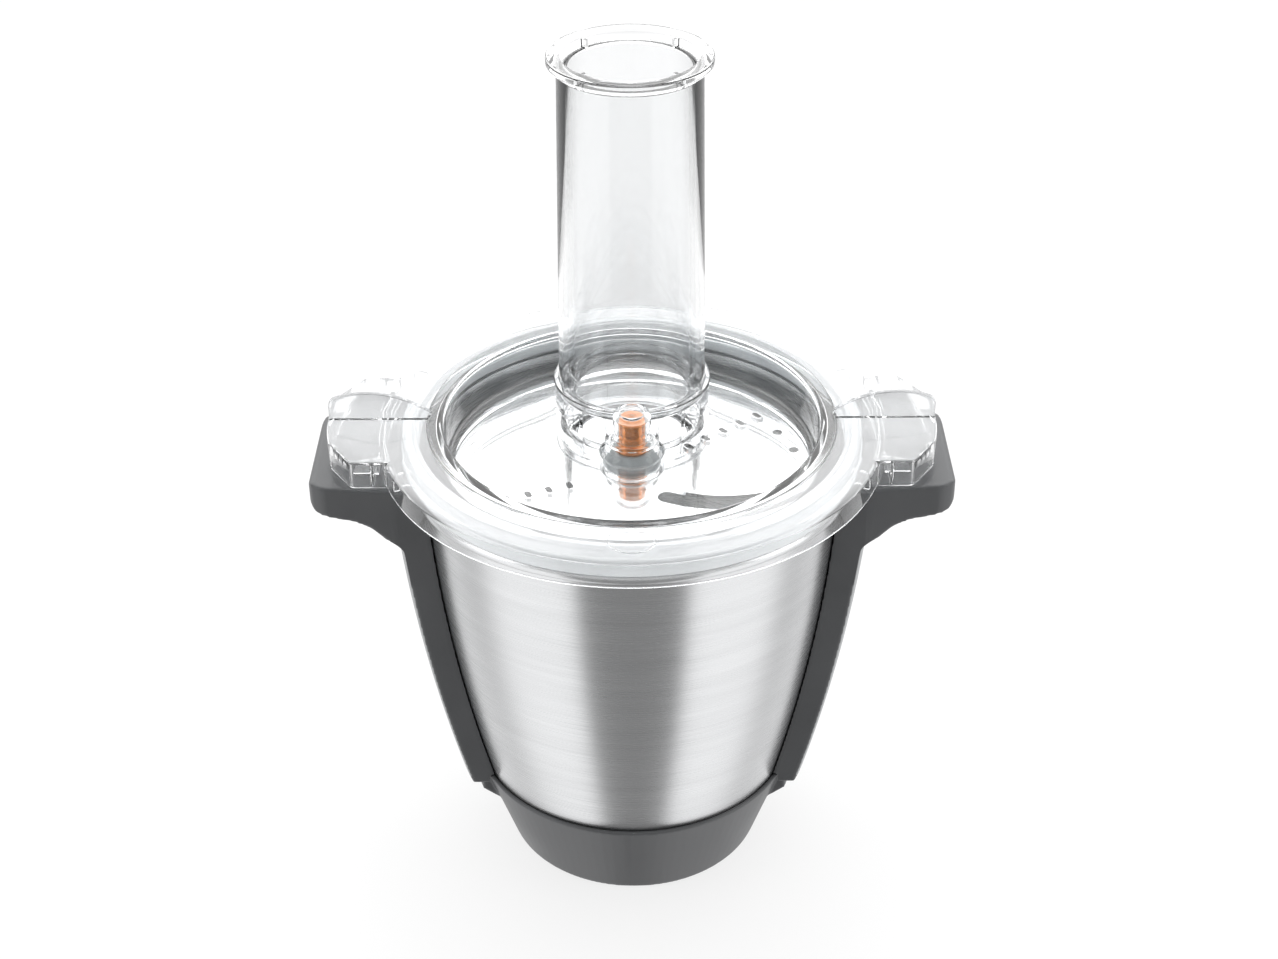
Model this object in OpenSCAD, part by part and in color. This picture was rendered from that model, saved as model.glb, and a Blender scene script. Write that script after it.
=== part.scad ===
// Food processor bowl with slicing disc, clear lid, feed tube and pusher.
// Origin: bowl axis at the underside of the base. +Z is up, -Y is the front.

/* [Bowl] */
// Height of the steel rim above the table
rim_height = 221.8; // [190:0.2:260]
// Outside radius of the steel wall at the rim
mouth_radius = 101.5; // [90:0.5:115]
// Radius of the long curve of the wall, seen from the side
wall_curve = 910; // [600:10:1400]
// How far above the rim the wall would stand upright
wall_crest = 38.2; // [20:0.2:60]
// Thickness of the steel sheet
sheet = 1.2; // [0.8:0.1:2]
// Radius of the rolled edge of the rim
rim_roll = 2.2; // [1.5:0.1:3]
// How far the rolled rim stands out from the wall
rim_reach = 5.5; // [4:0.1:7]

/* [Base] */
// Height of the plastic base cup
cup_height = 51; // [40:0.5:65]
// How far the upper edge of the cup stands out from the steel wall
cup_step = 2.225; // [1.6:0.025:4]
// How much smaller the cup's radius is at the table than at its upper edge
cup_taper = 15.9; // [8:0.1:20]
// Wall thickness of the cup
cup_wall = 2.6; // [2:0.1:4]

/* [Handles] */
// How far a grip reaches out from the steel mouth
handle_length = 48; // [40:0.5:60]
// Half of the handle width, along Y
handle_half = 38; // [28:0.5:44]
// Thickness of the grip shelf at its end
shelf_depth = 14.5; // [10:0.5:20]
// Radius of the bend between shelf and leg
bend_radius = 26; // [16:1:32]
// Height of the lower end of the leg
leg_end = 46.5; // [40:0.5:70]
// Half of the handle width at the end of the grip shelf
handle_tip = 33.5; // [26:0.5:40]
// Radius of the curve of the leg, seen from the side
leg_curve = 865; // [600:1:1200]
// How far a leg's outer face stands out from the steel mouth, where its curve is upright
leg_standoff = 14.4; // [12:0.1:20]
// Thickness of the outer leg cover
cover_wall = 2.6; // [2:0.1:4]

/* [Lid] */
// How far the lid skirt stands out from the steel mouth
lid_overhang = 16.5; // [13:0.5:24]
// Height of the lid skirt
skirt_height = 14.2; // [10:0.2:22]
// Wall thickness of the clear plastic
clear_wall = 2.4; // [1.8:0.1:3.2]
// How far the round well in the lid lies inside the steel mouth
well_margin = 15.5; // [13:0.5:21]
// How far a grip wing reaches out from the lid skirt
wing_length = 24; // [16:0.5:30]
// Half of the wing width, along Y
wing_half = 38.5; // [28:0.5:44]
// Height of the upright grip fin above the lid
fin_height = 14; // [8:0.5:22]
// Thickness of the upright grip fin
fin_wall = 2.8; // [2:0.1:4]

/* [Feed tube and pusher] */
// Distance of the tube axis behind the bowl axis
tube_offset = 48.5; // [44:0.5:49]
// Outside radius of the tube at its lower end
tube_foot = 35.6; // [33.6:0.1:36]
// Outside radius of the tube at its upper end
tube_head = 33.4; // [32.8:0.1:36]
// Length of the tube
tube_length = 163; // [110:1:220]
// Inside radius of the tube at its upper end
tube_bore = 31; // [26:0.1:31.4]
// Free width between pusher and tube, all round
pusher_play = 0.4; // [0.3:0.1:1]
// Outside radius of the pusher flange
flange_radius = 38; // [35:0.5:42]

/* [Cutting disc] */
// How far the edge of the disc lies inside the steel mouth
disc_margin = 17.2; // [16.5:0.1:24]
// Thickness of the disc
disc_sheet = 1.2; // [0.8:0.1:2]
// Free height between disc and lid floor
disc_gap = 3.3; // [2.8:0.1:5]
// Radius of the hub at the disc
hub_radius = 13.7; // [11:0.1:14]
// Radius of the bronze shaft tip
tip_radius = 6.3; // [5:0.1:6.8]
// Radius of the long slicing slot, seen from above
slot_curve = 61; // [50:1:70]
// Width of the slicing slot
slot_width = 9; // [6:0.5:11]

/* [Drive] */
// Radius of the steel drive shaft
shaft_radius = 5; // [4:0.1:6]
// Radius of the drive coupling
coupling_radius = 13; // [11:0.5:16]

/* [Part shown] */
// Name of the part to show, or all

/* [Hidden] */
$fn = 96;
smooth = 720;
eps = 0.01;
crease = 0.1;
air = 0.4;
seat = 0.05;
fit = 0.05;

// Heights that follow from the sizes above
floor_z = 44;
corner = 7;
corner_z = floor_z + corner;
wall_top = rim_height - rim_roll;
crest_z = rim_height + wall_crest;
wall_axis = mouth_radius + 1 - wall_curve;
corner_out = wall_axis + sqrt(pow(wall_curve, 2) - pow(crest_z - corner_z, 2));
corner_r = corner_out - corner - crease;
rim_r = mouth_radius + rim_reach - rim_roll;

// Base cup
cup_brim = wall_r(0, cup_height) + cup_step;
cup_foot = cup_brim - cup_taper;

// Handles
handle_reach = mouth_radius + handle_length;
shelf_top = rim_height - 2;
shelf_low = shelf_top - shelf_depth;
shelf_drop = 2.5;
shelf_corner = 10;
leg_crest = crest_z + 2.7;
leg_radius = mouth_radius + leg_standoff;
leg_axis = leg_radius - leg_curve;
bend_x = handle_reach - 15;
bend_z = shelf_low - shelf_drop - bend_radius;
leg_front = bend_x - bend_radius;
cover_top = bend_z + 0.35 * bend_radius;
cover_half = handle_half - 1.4;
screw_high = cover_top - 14;
screw_low = leg_end + 22;
stud_length = 4.6;
screw_seat = 6.6;
head_height = 1.8;

// Lid
lid_radius = mouth_radius + lid_overhang;
well_radius = mouth_radius - well_margin;
wing_reach = lid_radius + wing_length;
lid_base = rim_height + 0.5;
lid_top = lid_base + skirt_height;
lid_under = lid_top - clear_wall;
well_depth = 18.2;
well_floor = lid_top - well_depth;
well_under = well_floor - clear_wall;
bead_height = 1.6;
bead_inner = well_radius + 2;
bead_outer = bead_inner + 7;
skirt_round = 3;
seal_inner = rim_r - 4.4;
seal_outer = rim_r + 2.2;
seal_height = 5;
seal_lip = 2.4;
wing_root = lid_radius - 18;
wing_shoulder = wing_reach - 14;
wing_slope = 10;
dome_radius = 9;
dome_foot = 12.8;
dome_top = lid_top + 3.6;
dome_step = well_floor + 8;
fin_crest = lid_top + fin_height;
fin_curve = 48;
fin_axis = lid_radius + 5.5;
fin_round = 8;
mark_ring = lid_radius - 17;
mark_radius = 11;

// Feed tube and pusher
collar_top = well_floor + 13.6;
collar_bore = tube_foot + 0.3;
collar_outer = collar_bore + 1.5;
chute_bore = tube_foot - 2.3;
tube_seat = collar_top - 5;
tube_end = tube_seat + seat;
tube_top = tube_end + tube_length;
tube_foot_bore = tube_foot - clear_wall;
rib_count = 16;
flange_rise = 6.5;
pusher_top = tube_top + seat + flange_rise;
pusher_end = tube_end - 1.5;
pusher_radius = tube_bore - pusher_play;
pusher_wall = 2.4;
mouth_bore = tube_bore;
mouth_depth = 5;

// Cutting disc
disc_radius = mouth_radius - disc_margin;
disc_top = well_under - disc_gap;
disc_low = disc_top - disc_sheet;
hub_top = well_floor + 1.2;
tip_top = lid_top - 0.8;
tip_flange = 7.4;
slot_x = 43;
slot_y = 21;
slot_start = 244;
slot_sweep = 58;
blade_root = slot_curve - slot_width / 2 - 17;
blade_edge = slot_curve - slot_width / 2 - 0.6;
blade_rise = 1.7;
tooth_x = 5.4;
tooth_y = 3;
tooth_wall = 0.9;
tooth_rise = 1.1;

// Drive line below and inside the bowl
housing_r = 15;
housing_low = 14;
housing_top = floor_z + 8;
flange_r = 23;
bearing_r = 11;
bearing_h = 7;
low_bearing = 18;
high_bearing = 35;
shaft_low = 5;
shaft_top = 84;
shaft_flat = 4.1;
sleeve_r = 9;
sleeve_low = housing_top + 2;
sleeve_wide = 12.5;
coupling_low = 2.4;
coupling_h = 11;
clip_z = coupling_low + coupling_h;

// Heater and contacts
heater_r = 62;
heater_h = 5;
element_ring = 47;
element_r = 3.4;
element_gap = 30;
plate_low = 1.2;
plate_h = 2.4;
plate_r = cup_foot - cup_wall - 2.4;
plate_hole = coupling_radius + 4;
boss_ring = 50;
boss_r = 4;
boss_top = 21;
block_y = 38;
block_w = 34;
block_l = 13;
block_h = 16;
pin_step = 9;
pin_r = 1.6;
sensor_ring = 31;
sensor_r = 3.6;

// Colours
steel = [0.74, 0.75, 0.76];
polished = [0.86, 0.87, 0.88];
dark = [0.24, 0.245, 0.25];
grey = [0.55, 0.56, 0.57];
clear = [0.85, 0.9, 0.92, 0.35];
bronze = [0.8, 0.5, 0.26];
brass = [0.78, 0.62, 0.3];
alloy = [0.7, 0.71, 0.72];
black = [0.1, 0.1, 0.1];
silicone = [0.82, 0.84, 0.84];

// ---- shared outlines ----

// Upright rectangle from (x0, z0) to (x1, z1)
module slab(x0, z0, x1, z1) {
    translate([x0, z0]) square([x1 - x0, z1 - z0]);
}

// Radius of the wall at height z, moved inwards by 'inset'
function wall_r(inset, z) =
    wall_axis + sqrt(pow(wall_curve - inset, 2) - pow(crest_z - z, 2));

// Everything inside the steel wall surface up to 'top', moved inwards by 'inset'.
// The floor corner stands back from the long curve by a hair, hidden in the cup.
module bowl_outline(inset, top) {
    intersection() {
        translate([wall_axis, crest_z]) circle(r = wall_curve - inset, $fn = smooth);
        slab(0, corner_z, handle_reach, top);
    }
    slab(0, floor_z + inset, corner_r, corner_z + 1);
    intersection() {
        translate([corner_r, corner_z]) circle(r = corner - inset);
        slab(0, 0, handle_reach, corner_z + corner - 2);
    }
}

// Everything inside the outer surface of a leg, moved inwards by 'inset'
module leg_outline(inset, low, high) {
    intersection() {
        translate([leg_axis, leg_crest]) circle(r = leg_curve - inset, $fn = smooth);
        slab(0, low, handle_reach, high);
    }
}

// Ring with rectangular section
module ring(inner, outer, low, height) {
    translate([0, 0, low]) difference() {
        cylinder(r = outer, h = height);
        translate([0, 0, -1]) cylinder(r = inner, h = height + 2);
    }
}

// Plate that narrows along X from 'half' at x1 to 'tip' at x2, with two rounded
// corners of radius 'r' at that end
module rounded_end(x0, x1, x2, half, tip, r, low, height) {
    lean = atan2(half - tip, x2 - x1);
    middle = half - (x2 - r - x1) * tan(lean) - r / cos(lean);
    touch_x = x2 - r + r * sin(lean);
    touch_y = middle + r * cos(lean);
    translate([0, 0, low]) linear_extrude(height) {
        polygon([[x0, -half], [x1, -half], [touch_x, -touch_y], [x2 - r, -middle],
            [x2, -middle], [x2, middle], [x2 - r, middle], [touch_x, touch_y],
            [x1, half], [x0, half]]);
        translate([x2 - r, middle]) circle(r = r);
        translate([x2 - r, -middle]) circle(r = r);
    }
}

// ---- bowl ----

module stud_at(z) {
    for (side = [-1, 1])
        translate([side * (wall_r(0, z) - 0.9), 0, z]) rotate([0, side * 90, 0]) children();
}

module bowl_shell() {
    color(steel) difference() {
        union() {
            rotate_extrude() difference() {
                union() {
                    bowl_outline(0, wall_top);
                    slab(mouth_radius - 3, wall_top - sheet / 2, rim_r, wall_top + sheet / 2);
                    translate([rim_r, rim_height - rim_roll]) circle(r = rim_roll);
                }
                bowl_outline(sheet, rim_height + 1);
            }
            stud_at(screw_high) cylinder(r = 5, h = stud_length);
            stud_at(screw_low) cylinder(r = 5, h = stud_length);
        }
        translate([0, 0, floor_z - 1]) cylinder(r = 12, h = 5);
        stud_at(screw_high) translate([0, 0, 1.4]) cylinder(r = 1.75, h = 8);
        stud_at(screw_low) translate([0, 0, 1.4]) cylinder(r = 1.75, h = 8);
    }
}

// ---- base ----

module base_cup() {
    color(dark) {
        difference() {
            union() {
                rotate_extrude() difference() {
                    polygon([[0, 0], [cup_foot - 2.5, 0], [cup_foot - 0.7, 0.8], [cup_foot, 2.6],
                        [cup_brim, cup_height - 1], [cup_brim - 0.8, cup_height], [0, cup_height]]);
                    polygon([[0, -1], [plate_r + air, -1], [plate_r + air, plate_low + plate_h],
                        [plate_r - 2, plate_low + plate_h], [plate_r - 2, plate_low + plate_h + 2],
                        [plate_r + 1, plate_low + plate_h + 4], [cup_brim - cup_wall - 4.5, 38],
                        [heater_r + 1.5, floor_z - 4], [heater_r + 1.5, cup_height + 1],
                        [0, cup_height + 1]]);
                }
                side_pads();
                for (a = [90, 210, 330])
                    rotate([0, 0, a]) cup_boss();
            }
            rotate_extrude() intersection() {
                bowl_outline(-air, cup_height + 1);
                slab(0, floor_z, handle_reach, cup_height + 1);
            }
            for (a = [90, 210, 330])
                rotate([0, 0, a]) translate([-boss_ring, 0, plate_low + plate_h - 1])
                    cylinder(r = 1.5, h = 12);
        }
    }
}

// Screw boss inside the cup with a web to the wall
module cup_boss() {
    translate([-boss_ring, 0, plate_low + plate_h]) cylinder(r = boss_r, h = boss_top - 4);
    translate([-boss_ring - 13, -1.25, plate_low + plate_h + 3]) cube([13, 2.5, boss_top - 8]);
}

// Two raised pads on the cup below the legs
module side_pads() {
    intersection() {
        rotate_extrude() polygon([[cup_brim - 8, 30], [cup_brim - 5.2, 31], [cup_brim + 1.2, 36],
            [cup_brim + 1.2, leg_end - 1.2], [cup_brim - 6.4, leg_end - 1.2]]);
        for (side = [-1, 1])
            translate([side * (cup_brim - 5) - 12, -30, 20]) cube([24, 60, 40]);
    }
}

module base_plate() {
    color(dark) difference() {
        union() {
            translate([0, 0, plate_low]) cylinder(r = plate_r, h = plate_h);
            ring(plate_hole, plate_hole + 2, plate_low, plate_h + 3);
        }
        translate([0, 0, -1]) cylinder(r = plate_hole, h = 12);
        for (x = [-1, 0, 1])
            translate([x * pin_step, block_y, -1]) cylinder(r = pin_r + 1.4, h = 9);
        for (a = [90, 210, 330])
            rotate([0, 0, a]) translate([-boss_ring, 0, 0]) {
                translate([0, 0, -1]) cylinder(r = 1.9, h = 9);
                cylinder(r = 3.8, h = plate_low + 1.2);
            }
    }
}

module base_screw(a) {
    color(steel) rotate([0, 0, a]) translate([-boss_ring, 0, 0]) {
        difference() {
            translate([0, 0, plate_low + 0.1]) cylinder(r = 3.3, h = 1.1);
            translate([0, 0, plate_low - 1]) cylinder(r = 1.2, h = 1.7, $fn = 6);
        }
        translate([0, 0, plate_low + 0.6]) cylinder(r = 1.45, h = 11);
    }
}

// ---- handles ----

// One handle on the +X side
module handle_body() {
    difference() {
        union() {
            intersection() {
                rotate_extrude(start = -60, angle = 120) leg_outline(0, leg_end, cover_top);
                translate([0, -handle_half, 0]) cube([handle_reach, 2 * handle_half, rim_height]);
            }
            intersection() {
                rotate([90, 0, 0]) linear_extrude(2 * handle_half, center = true)
                    shelf_section();
                rounded_end(60, leg_front, handle_reach, handle_half, handle_tip,
                    shelf_corner, cover_top - 30, 100);
            }
        }
        rotate_extrude() {
            bowl_outline(-air, wall_top);
            slab(0, cover_top, leg_front - 13.4, rim_height + 1);
            slab(0, wall_top - rim_roll - 1, rim_r + rim_roll + 0.6, rim_height + 1);
            slab(0, 0, cup_brim + 0.5, cup_height + 0.5);
        }
        cover_recess();
        stud_at(screw_high) cylinder(r = 5.3, h = stud_length + 0.5);
        stud_at(screw_low) cylinder(r = 5.3, h = stud_length + 0.5);
        stud_at(screw_high) cylinder(r = 2.2, h = 40);
        stud_at(screw_low) cylinder(r = 2.2, h = 40);
        stud_at(screw_high) translate([0, 0, screw_seat]) cylinder(r = 4.4, h = 30);
        stud_at(screw_low) translate([0, 0, screw_seat]) cylinder(r = 4.4, h = 30);
    }
}

// Recess in the outside of a leg that takes the cover
module cover_recess() {
    intersection() {
        rotate_extrude(start = -60, angle = 120) difference() {
            slab(leg_end, leg_end + 1.7, handle_reach, cover_top);
            leg_outline(cover_wall, 0, cover_top + 1);
        }
        translate([0, -cover_half - 0.3, 0]) cube([handle_reach, 2 * cover_half + 0.6, rim_height]);
    }
}

// Side view of shelf, bend and upper end of the leg
module shelf_section() {
    difference() {
        polygon([[leg_front - 20, cover_top], [leg_front, cover_top], [leg_front, bend_z],
            [bend_x, shelf_low - shelf_drop], [handle_reach - 3, shelf_low],
            [handle_reach, shelf_low + 3], [handle_reach, shelf_top - 2],
            [handle_reach - 2, shelf_top], [leg_front - 20, shelf_top]]);
        translate([bend_x, bend_z]) circle(r = bend_radius);
    }
    difference() {
        slab(leg_front - 20, bend_z - 10, bend_x, shelf_low - shelf_drop);
        translate([bend_x, bend_z]) circle(r = bend_radius);
        slab(leg_front, bend_z - 11, bend_x, bend_z);
    }
}

module left_handle() {
    color(dark) mirror([1, 0, 0]) handle_body();
}

module right_handle() {
    color(dark) handle_body();
}

// Outer cover of one leg on the +X side
module leg_cover() {
    intersection() {
        rotate_extrude(start = -60, angle = 120) difference() {
            leg_outline(0, leg_end + 2, cover_top - 0.5);
            leg_outline(cover_wall, leg_end, cover_top);
        }
        translate([0, -cover_half, 0]) cube([handle_reach, 2 * cover_half, rim_height]);
    }
}

module left_leg_cover() {
    color(grey) mirror([1, 0, 0]) leg_cover();
}

module right_leg_cover() {
    color(grey) leg_cover();
}

// Pan head screw that clamps a handle to a stud
module handle_screw(side, z) {
    color(steel) translate([side * (wall_r(0, z) - 0.9), 0, z]) rotate([0, side * 90, 0]) {
        translate([0, 0, 2.2]) cylinder(r = 1.7, h = screw_seat - 1.5);
        difference() {
            translate([0, 0, screw_seat]) cylinder(r = 3.6, h = head_height);
            translate([0, 0, screw_seat + 0.7]) cylinder(r = 1.5, h = 3, $fn = 6);
        }
    }
}

// ---- heater, sensor and contacts ----

module heater_plate() {
    color(alloy) difference() {
        ring(flange_r + 1, heater_r, floor_z - heater_h, heater_h);
        translate([0, -sensor_ring, 0]) cylinder(r = sensor_r + air, h = floor_z);
    }
}

module heating_element() {
    color(steel) rotate([0, 0, 90 + element_gap / 2])
        rotate_extrude(angle = 360 - element_gap)
            translate([element_ring, floor_z - heater_h - element_r]) circle(r = element_r);
}

module contact_block() {
    color(black) difference() {
        translate([-block_w / 2, block_y - block_l / 2, plate_low + plate_h])
            cube([block_w, block_l, block_h]);
        for (x = [-1, 0, 1])
            translate([x * pin_step, block_y, 0]) cylinder(r = pin_r, h = 60);
    }
}

module contact_pin(x) {
    color(brass) translate([x * pin_step, block_y, plate_low + 0.4]) {
        cylinder(r = pin_r, h = plate_h + block_h + 3);
    }
}

module heat_sensor() {
    color(steel) translate([0, -sensor_ring, 0]) {
        translate([0, 0, floor_z - heater_h - 1.4]) cylinder(r = sensor_r, h = heater_h + 1.4);
        translate([0, 0, floor_z - heater_h - 3]) cylinder(r = sensor_r + 2, h = 3);
    }
}

// ---- drive line ----

module bearing_housing() {
    color(alloy) difference() {
        union() {
            translate([0, 0, housing_low]) cylinder(r = housing_r, h = floor_z - housing_low);
            translate([0, 0, floor_z - 4]) cylinder(r = flange_r, h = 4);
            translate([0, 0, floor_z - 1]) cylinder(r = 11.9, h = housing_top - floor_z + 1);
        }
        translate([0, 0, housing_low - 1]) cylinder(r = 6.5, h = 60);
        translate([0, 0, housing_low - 1]) cylinder(r = bearing_r, h = low_bearing - housing_low + bearing_h + 1);
        translate([0, 0, high_bearing]) cylinder(r = bearing_r, h = bearing_h);
        translate([0, 0, high_bearing + bearing_h - eps]) cylinder(r = 9, h = 20);
    }
}

module housing_nut() {
    color(steel) difference() {
        translate([0, 0, floor_z + sheet]) cylinder(r = 17, h = 4, $fn = 6);
        translate([0, 0, floor_z]) cylinder(r = 11.9, h = 10);
    }
}

module bearing(z) {
    color(polished) ring(shaft_radius + fit, bearing_r, z, bearing_h);
}

module shaft_seal() {
    color(black) ring(shaft_radius + fit, 9, high_bearing + bearing_h, 6);
}

module drive_shaft() {
    color(steel) difference() {
        union() {
            translate([0, 0, shaft_low]) cylinder(r = shaft_radius, h = shaft_top - shaft_low);
            ring(1, 6, low_bearing + bearing_h + seat, 2);
        }
        for (side = [0, 180])
            rotate([0, 0, side]) translate([shaft_flat, -10, sleeve_low + 4]) cube([4, 20, 60]);
    }
}

module drive_coupling() {
    color(black) difference() {
        union() {
            translate([0, 0, coupling_low]) cylinder(r = coupling_radius, h = 6);
            translate([0, 0, coupling_low]) cylinder(r = 9, h = coupling_h);
        }
        translate([0, 0, shaft_low]) cylinder(r = shaft_radius, h = 30);
        translate([0, 0, coupling_low - 1]) cylinder(r = 7, h = shaft_low - coupling_low + 1, $fn = 6);
        for (a = [0:60:300])
            rotate([0, 0, a]) translate([coupling_radius, 0, coupling_low - 1]) cylinder(r = 2.2, h = 8);
    }
}

module shaft_clip() {
    color(steel) difference() {
        ring(shaft_radius, 7.5, clip_z, 1);
        translate([0, -2, clip_z - 1]) cube([10, 4, 3]);
    }
}

module drive_sleeve() {
    color(grey) difference() {
        union() {
            translate([0, 0, sleeve_low]) cylinder(r = sleeve_wide, h = 10);
            translate([0, 0, sleeve_low + 10]) cylinder(r1 = sleeve_wide, r2 = sleeve_r, h = 8);
            translate([0, 0, sleeve_low + 18]) cylinder(r = sleeve_r, h = disc_low - sleeve_low - 22);
            translate([0, 0, disc_low - 4]) cylinder(r = hub_radius, h = 4);
            translate([0, 0, disc_low]) cylinder(r = 6.6, h = hub_top - disc_low - 3);
        }
        difference() {
            translate([0, 0, sleeve_low - 1]) cylinder(r = shaft_radius, h = shaft_top - sleeve_low + 1);
            for (side = [0, 180])
                rotate([0, 0, side]) translate([shaft_flat, -10, sleeve_low + 4]) cube([4, 20, 60]);
        }
    }
}

module disc_hub() {
    color(grey) difference() {
        union() {
            translate([0, 0, disc_top]) cylinder(r = hub_radius, h = 1.8);
            translate([0, 0, disc_top + 1.8])
                cylinder(r1 = hub_radius, r2 = tip_flange + 1, h = hub_top - disc_top - 1.8);
        }
        translate([0, 0, disc_top - 1]) cylinder(r = 6.6, h = hub_top - disc_top - 3 + 1);
        translate([0, 0, disc_top]) cylinder(r = 3, h = 20);
    }
}

// Oval opening of one grating tooth, grown by 'grow'
module tooth_outline(grow) {
    r = tooth_y / 2 + grow;
    half = (tooth_x - tooth_y) / 2;
    slab(-half, -r, half, r);
    translate([half, 0]) circle(r = r, $fn = 24);
    translate([-half, 0]) circle(r = r, $fn = 24);
}

// Places a row of grating teeth
module tooth_row(x, y, turn, count, step) {
    translate([x, y, 0]) rotate([0, 0, turn])
        for (i = [0:count - 1])
            translate([i * step, 0, 0]) rotate([0, 0, 90]) children();
}

module all_teeth() {
    tooth_row(-29, -25, 202, 4, 10.2) children();
    tooth_row(27, 9, 40, 5, 11) children();
}

module cutting_disc() {
    color(polished) difference() {
        union() {
            translate([0, 0, disc_low]) cylinder(r = disc_radius, h = disc_sheet);
            all_teeth() translate([0, 0, disc_low])
                linear_extrude(disc_sheet + tooth_rise) tooth_outline(tooth_wall);
        }
        all_teeth() translate([0, 0, disc_low - 1]) linear_extrude(6) tooth_outline(0);
        translate([0, 0, disc_low - 1]) cylinder(r = 6.6, h = 4);
        slicing_slot();
        translate([70, 23, disc_low - 1]) cylinder(r = 2.4, h = 4);
        translate([77, 7, disc_low - 1]) cylinder(r = 2.4, h = 4);
    }
}

// Long curved opening in front of the blade
module slicing_slot() {
    r = slot_width / 2;
    translate([slot_x, slot_y, disc_low - 1]) {
        rotate([0, 0, slot_start]) rotate_extrude(angle = slot_sweep)
            slab(slot_curve - r, 0, slot_curve + r, 4);
        for (a = [slot_start, slot_start + slot_sweep])
            rotate([0, 0, a]) translate([slot_curve, 0, 0]) cylinder(r = r, h = 4);
    }
}

module slicing_blade() {
    color(steel) translate([slot_x, slot_y, disc_top]) rotate([0, 0, slot_start + 4])
        rotate_extrude(angle = slot_sweep - 12)
            polygon([[blade_root - 5, 0], [blade_root, 0], [blade_edge, blade_rise - 0.3],
                [blade_edge + 0.4, blade_rise], [blade_edge - 2, blade_rise + 0.3],
                [blade_root + 1, 0.9], [blade_root - 4.6, 0.5]]);
}

module shaft_tip() {
    color(bronze) difference() {
        union() {
            translate([0, 0, hub_top]) cylinder(r = tip_flange, h = 2.2);
            translate([0, 0, hub_top + 1]) cylinder(r = tip_radius, h = tip_top - hub_top - 2);
            translate([0, 0, tip_top - 1]) cylinder(r1 = tip_radius, r2 = tip_radius - 1, h = 1);
            translate([0, 0, hub_top - 3]) cylinder(r = 3, h = 4);
        }
        translate([0, 0, tip_top - 2.4]) cylinder(r1 = 1.6, r2 = 3.1, h = 2.5);
    }
}

// ---- lid ----

module lid_seal() {
    mid = (seal_inner + seal_outer) / 2;
    color(silicone) rotate_extrude() {
        slab(seal_inner, rim_height + seat, seal_outer, rim_height + seal_height);
        slab(mid - seal_lip / 2, rim_height + seal_height - eps, mid + seal_lip / 2, lid_under);
    }
}

// Half section of the round part of the lid
module lid_section() {
    mid = (seal_inner + seal_outer) / 2;
    groove = seal_lip / 2 + 0.05;
    rib_low = rim_height + seal_height + 0.1;
    // flange and skirt with a rounded shoulder
    slab(bead_inner, lid_under, lid_radius - skirt_round, lid_top);
    slab(lid_radius - clear_wall, lid_base, lid_radius, lid_top - skirt_round);
    difference() {
        translate([lid_radius - skirt_round, lid_top - skirt_round]) circle(r = skirt_round);
        translate([lid_radius - skirt_round, lid_top - skirt_round])
            circle(r = skirt_round - clear_wall);
        slab(0, 0, lid_radius - skirt_round, lid_top + 1);
        slab(0, 0, lid_radius + 1, lid_top - skirt_round);
    }
    // bead around the mouth
    translate([bead_outer - bead_height, lid_top]) circle(r = bead_height);
    slab(bead_inner + bead_height, lid_under, bead_outer - bead_height, lid_top + bead_height);
    translate([bead_inner + bead_height, lid_top]) circle(r = bead_height);
    // wall and floor of the well
    polygon([[bead_inner, lid_top], [well_radius, well_floor], [well_radius - 2, well_under],
        [well_radius + 0.6, well_under], [well_radius + 2, well_floor],
        [bead_inner + clear_wall + 0.4, lid_under]]);
    slab(0, well_under, well_radius, well_floor);
    // groove that carries the seal
    slab(mid - groove - 1.8, rib_low, mid - groove, lid_under + eps);
    slab(mid + groove, rib_low, mid + groove + 1.8, lid_under + eps);
    // stepped dome over the shaft tip
    polygon([[0, well_under], [dome_foot + 2.4, well_under], [dome_foot + 2.4, well_floor],
        [dome_foot, well_floor + 2.4], [dome_foot, dome_step - 1.5], [dome_foot - 1.5, dome_step],
        [dome_radius + 0.6, dome_step], [dome_radius, dome_step + 1.5], [dome_radius, dome_top - 3],
        [dome_radius - 0.9, dome_top - 0.9], [dome_radius - 3, dome_top], [0, dome_top]]);
}

// Room for hub and shaft tip below the dome
module dome_cavity() {
    rotate_extrude() polygon([[0, well_under - 1], [hub_radius + 0.2, well_under - 1],
        [hub_radius - 0.4, well_under], [dome_foot - 1.8, well_floor + 2],
        [dome_foot - 1.8, dome_step - 2.6], [tip_radius + 0.8, dome_step - 1.4],
        [tip_radius + 0.8, dome_top - 4], [tip_radius - 0.6, dome_top - 2.6], [0, dome_top - 2.6]]);
}

// Outline of one wing seen from above, moved inwards by 'inset'
module wing_outline(inset) {
    half = wing_half - inset;
    end = wing_reach - inset;
    shoulder = wing_shoulder - inset * 0.4;
    intersection() {
        polygon([[wing_root, -half], [shoulder, -half], [end, -half + wing_slope + 6],
            [end, half - wing_slope - 6], [shoulder, half], [wing_root, half]]);
        translate([wing_reach - 90, 0]) circle(r = 90 - inset, $fn = 180);
    }
}

// Hollow grip wing with inner ribs
module wing_body() {
    web = 1.4;
    difference() {
        translate([0, 0, lid_base]) linear_extrude(skirt_height) wing_outline(0);
        translate([0, 0, lid_base - 1]) linear_extrude(skirt_height - clear_wall + 1) wing_outline(clear_wall);
    }
    intersection() {
        translate([0, 0, lid_base]) linear_extrude(skirt_height - 1) wing_outline(1);
        union() {
            translate([wing_shoulder - 10, -wing_half, lid_base + 0.4])
                cube([web, 2 * wing_half, skirt_height]);
            for (side = [-1, 1])
                translate([lid_radius - 2, side * (wing_half - 6) - 6, lid_base + skirt_height / 2])
                    cube([wing_shoulder - lid_radius + 2, 12, web]);
        }
    }
}

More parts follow.
